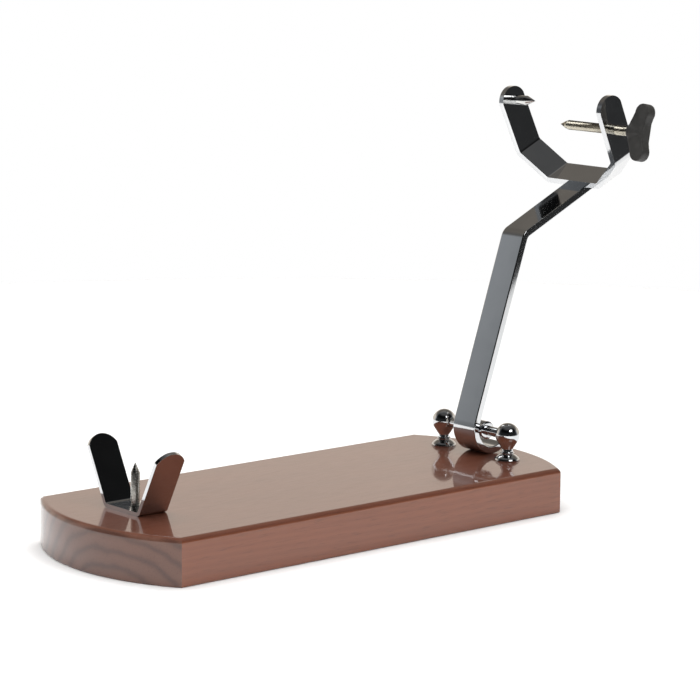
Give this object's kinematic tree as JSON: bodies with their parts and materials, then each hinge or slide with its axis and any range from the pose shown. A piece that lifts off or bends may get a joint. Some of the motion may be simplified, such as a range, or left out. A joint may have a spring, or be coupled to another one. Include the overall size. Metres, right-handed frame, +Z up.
{
  "type": "ham stand",
  "caption": "Folding ham stand: varnished wooden board, V cradle with spike, and a hinged flat-bar arm with an open claw and hand screw.",
  "frame": {"origin": "middle of the board's underside", "axes": "+X along the board towards the arm, +Z up, +Y to the side away from the wing knob"},
  "size_m": [0.5341, 0.1834, 0.3314],
  "materials": {
    "varnished_wood": "stained hardwood under glossy varnish",
    "chrome": "polished chrome plate",
    "nickel_steel": "turned and nickel plated",
    "zinc_steel": "zinc plated",
    "dark_plastic": "fine matt moulded plastic"
  },
  "bodies": {
    "stand": {"base_board": "varnished_wood", "cradle_bracket": "chrome", "cradle_spike": "nickel_steel", "spike_washer": "zinc_steel", "spike_nut": "zinc_steel", "far_ball_post": "chrome", "near_ball_post": "chrome", "far_post_bolt": "zinc_steel", "near_post_bolt": "zinc_steel", "far_post_washer": "zinc_steel", "near_post_washer": "zinc_steel", "axle_rod": "chrome"},
    "arm": {"arm_bar": "chrome", "pivot_sleeve": "chrome", "claw_ring": "chrome", "claw_tooth": "nickel_steel"},
    "screw": {"hoof_screw": "nickel_steel"},
    "knob": {"wing_knob": "dark_plastic"}
  },
  "joints": [
    {"name": "arm_fold", "type": "hinge", "parent": "stand", "child": "arm", "pos_m": [0.181, 0, 0.0573], "axis": [0, -1, 0], "range_deg": [0, 108]},
    {"name": "screw_travel", "type": "slide", "parent": "arm", "child": "screw", "axis": [0, 1, 0], "range_m": [-0.035, 0.01]},
    {"name": "knob_turn", "type": "hinge", "parent": "screw", "child": "knob", "pos_m": [0.27845, -0.085, 0.3026], "axis": [0, 1, 0], "range_deg": [-10090, 2890]}
  ],
  "couplings": [
    {"joint": "knob_turn", "follows": "screw_travel", "rad_per_m": 5026.5}
  ]
}
